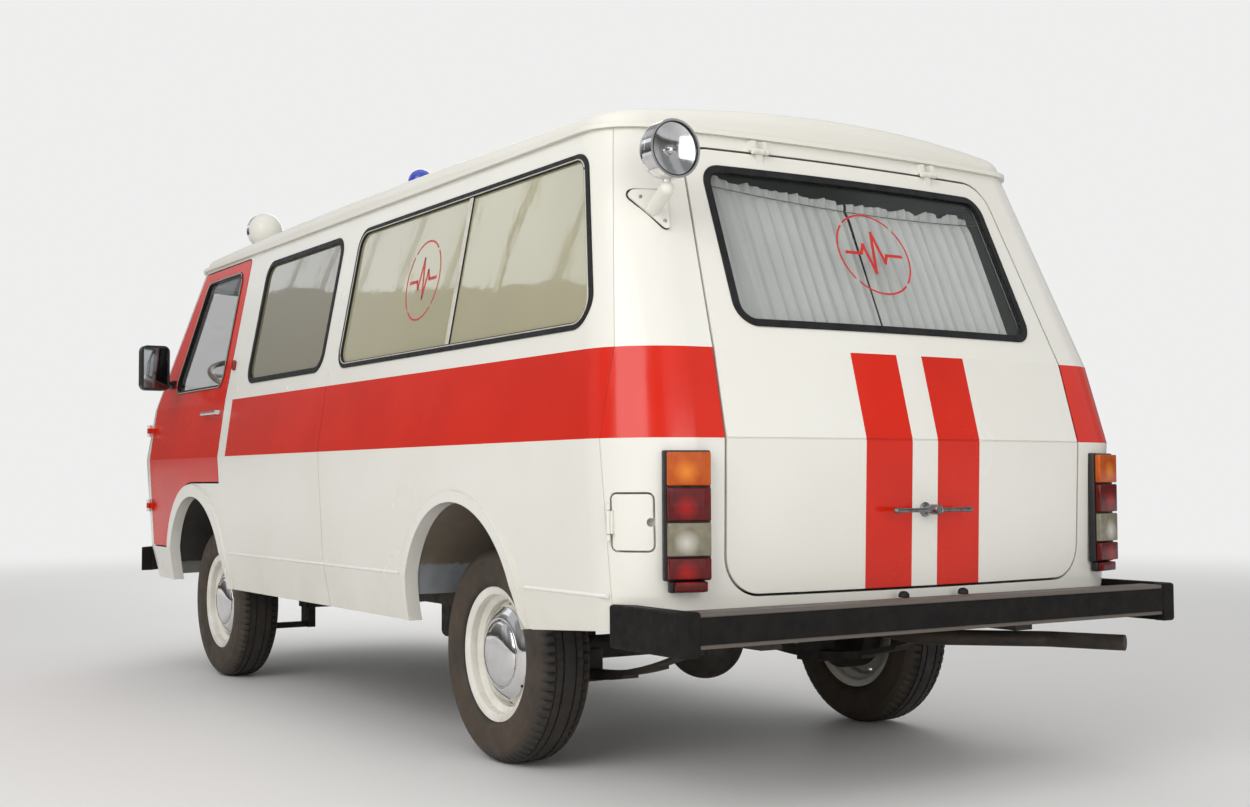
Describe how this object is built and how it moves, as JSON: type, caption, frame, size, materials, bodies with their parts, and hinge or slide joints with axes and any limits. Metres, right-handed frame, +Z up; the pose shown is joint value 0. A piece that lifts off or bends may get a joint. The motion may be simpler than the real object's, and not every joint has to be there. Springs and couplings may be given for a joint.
{
  "type": "ambulance van",
  "caption": "One-box ambulance van with a hollow saloon, opening doors, rear hatch and fuel flap, steered front wheels, roof beacon and spotlights.",
  "frame": {"origin": "on the ground, on the centre line, midway between the bumpers' outer faces", "axes": "+X forward, +Y to the vehicle's left, +Z up"},
  "size_m": [4.9798, 2.24, 2.1904],
  "materials": {
    "white_paint": "glossy white paint",
    "red_paint": "glossy red paint",
    "grey_paint": "satin grey paint",
    "chassis_paint": "satin black paint",
    "wheel_paint": "glossy white paint",
    "window_glass": "clear",
    "rubber": "matte",
    "black_plastic": "matte",
    "red_lens": "glossy",
    "amber_lens": "glossy",
    "clear_lens": "ribbed clear",
    "blue_lens": "glossy",
    "chrome": "polished",
    "seat_cover": "satin",
    "tyre": "matte"
  },
  "bodies": {
    "body": {"body_side_left": "white_paint", "body_side_right": "white_paint", "rear_frame": "white_paint", "front_panel": "white_paint", "roof": "white_paint", "lamp_shells": "white_paint", "floor": "grey_paint", "partition": "grey_paint", "wheel_houses": "grey_paint", "engine_cover": "grey_paint", "chassis_frame": "chassis_paint", "rear_axle": "chassis_paint", "exhaust": "chassis_paint", "engine": "chassis_paint", "windscreen": "window_glass", "side_glass": "window_glass", "window_rubbers": "rubber", "grille": "black_plastic", "front_bumper": "black_plastic", "rear_bumper": "black_plastic", "rear_lamp_housings": "black_plastic", "dashboard": "black_plastic", "lenses_red": "red_lens", "lenses_amber": "amber_lens", "lenses_clear": "clear_lens", "lamp_rims": "chrome", "beacon_dome": "blue_lens", "seats": "seat_cover"},
    "steering_wheel": {"steering_wheel": "black_plastic"},
    "door_left": {"door_left": "red_paint", "door_left_glass": "window_glass", "door_left_rubber": "rubber", "door_left_handle": "chrome", "mirror_left": "black_plastic"},
    "door_right": {"door_right": "red_paint", "door_right_glass": "window_glass", "door_right_rubber": "rubber", "door_right_handle": "chrome", "mirror_right": "black_plastic"},
    "side_door": {"side_door": "white_paint", "side_door_glass": "window_glass", "side_door_rubber": "rubber", "side_door_handle": "chrome"},
    "hatch": {"hatch": "white_paint", "hatch_glass": "window_glass", "hatch_rubber": "rubber", "hatch_handle": "chrome"},
    "fuel_flap": {"fuel_flap": "white_paint"},
    "knuckle_left": {"knuckle_left": "chassis_paint"},
    "knuckle_right": {"knuckle_right": "chassis_paint"},
    "wheel_front_left": {"tyre_front_left": "tyre", "wheel_front_left": "wheel_paint"},
    "wheel_front_right": {"tyre_front_right": "tyre", "wheel_front_right": "wheel_paint"},
    "wheel_rear_left": {"tyre_rear_left": "tyre", "wheel_rear_left": "wheel_paint"},
    "wheel_rear_right": {"tyre_rear_right": "tyre", "wheel_rear_right": "wheel_paint"}
  },
  "joints": [
    {"name": "door_left_hinge", "type": "hinge", "parent": "body", "child": "door_left", "pos_m": [1.985, 0.958, 0.94], "axis": [0, 0, -1], "range_deg": [0, 70]},
    {"name": "door_right_hinge", "type": "hinge", "parent": "body", "child": "door_right", "pos_m": [1.985, -0.958, 0.94], "axis": [0, 0, 1], "range_deg": [0, 70]},
    {"name": "side_door_hinge", "type": "hinge", "parent": "body", "child": "side_door", "pos_m": [0.77, -0.958, 0.925], "axis": [0, 0, 1], "range_deg": [0, 80]},
    {"name": "hatch_hinge", "type": "hinge", "parent": "body", "child": "hatch", "pos_m": [-2.056, 0, 1.819], "axis": [0, 1, 0], "range_deg": [0, 85]},
    {"name": "fuel_flap_hinge", "type": "hinge", "parent": "body", "child": "fuel_flap", "pos_m": [-2.18266, 0.93401, 0.7625], "axis": [0, 0, -1], "range_deg": [0, 90]},
    {"name": "steer_left", "type": "hinge", "parent": "body", "child": "knuckle_left", "pos_m": [1.32, 0.65, 0.335], "axis": [0, 0, 1], "range_deg": [-30, 30]},
    {"name": "steer_right", "type": "hinge", "parent": "body", "child": "knuckle_right", "pos_m": [1.32, -0.65, 0.335], "axis": [0, 0, 1], "range_deg": [-30, 30]},
    {"name": "steering_wheel_turn", "type": "hinge", "parent": "body", "child": "steering_wheel", "pos_m": [1.77, 0.52, 1.385], "axis": [-0.4226, 0, 0.9063], "range_deg": [-450, 450]},
    {"name": "wheel_front_left_spin", "type": "hinge", "parent": "knuckle_left", "child": "wheel_front_left", "pos_m": [1.32, 0.74, 0.335], "axis": [0, 1, 0], "continuous": true},
    {"name": "wheel_front_right_spin", "type": "hinge", "parent": "knuckle_right", "child": "wheel_front_right", "pos_m": [1.32, -0.74, 0.335], "axis": [0, 1, 0], "continuous": true},
    {"name": "wheel_rear_left_spin", "type": "hinge", "parent": "body", "child": "wheel_rear_left", "pos_m": [-1.3, 0.725, 0.335], "axis": [0, 1, 0], "continuous": true},
    {"name": "wheel_rear_right_spin", "type": "hinge", "parent": "body", "child": "wheel_rear_right", "pos_m": [-1.3, -0.725, 0.335], "axis": [0, 1, 0], "continuous": true}
  ],
  "couplings": [
    {"joint": "steer_right", "follows": "steer_left", "ratio": 1},
    {"joint": "steering_wheel_turn", "follows": "steer_left", "ratio": 15}
  ]
}
